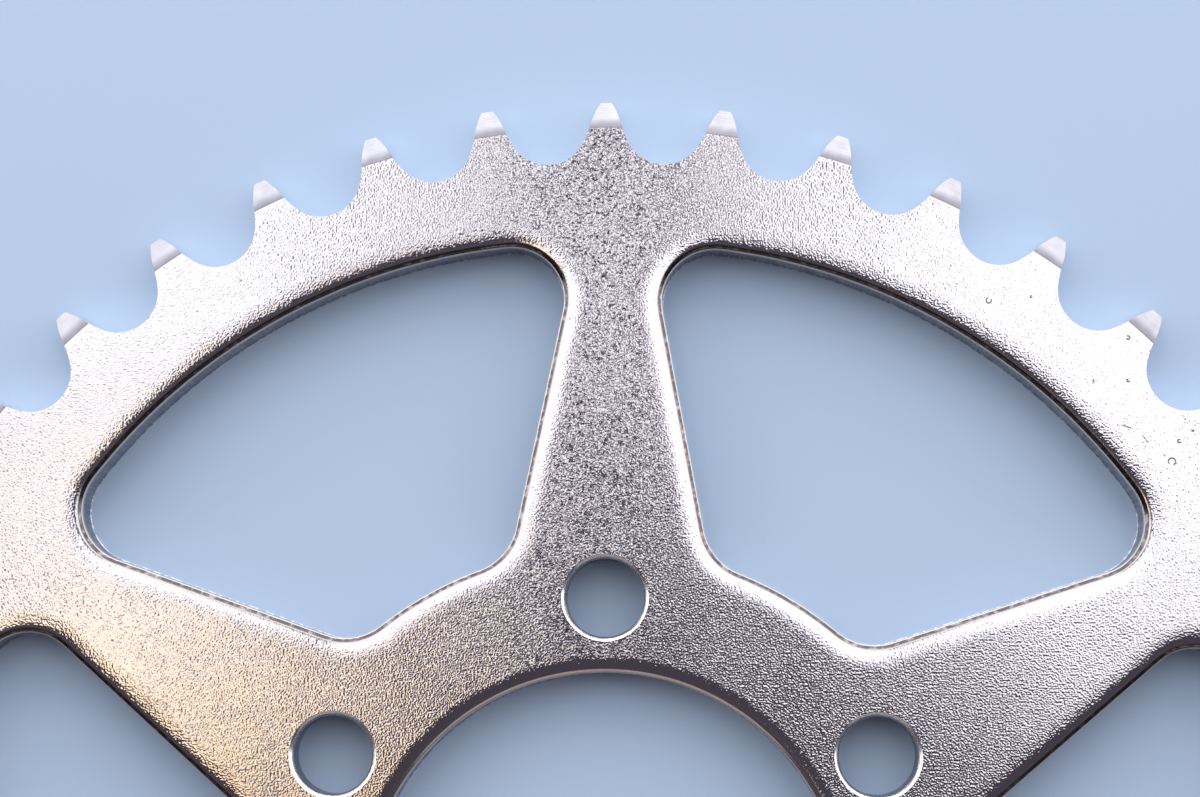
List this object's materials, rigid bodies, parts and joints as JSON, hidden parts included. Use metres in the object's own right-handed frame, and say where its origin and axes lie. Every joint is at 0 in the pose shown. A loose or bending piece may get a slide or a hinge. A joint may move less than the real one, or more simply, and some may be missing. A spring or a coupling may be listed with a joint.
{
  "type": "chain sprocket",
  "caption": "Flat one-piece rear chain sprocket: toothed rim, open windows between tapered spokes, a bolt ring and a wide centre bore.",
  "frame": {"origin": "centre of the bore, on the wheel axis, in the plane of the flat mounting face", "axes": "+Z along the wheel axis towards the face with the rolled edges; +Y through the middle of one tooth, one spoke and one bolt hole; +X completes the frame"},
  "size_m": [0.2188, 0.2194, 0.0059],
  "materials": {
    "zinc_plated_steel": "bright zinc plate over pressed steel with a fine pickled grain; turned, satin bevels at the teeth"
  },
  "bodies": {
    "root": {"sprocket": "zinc_plated_steel"}
  },
  "joints": []
}
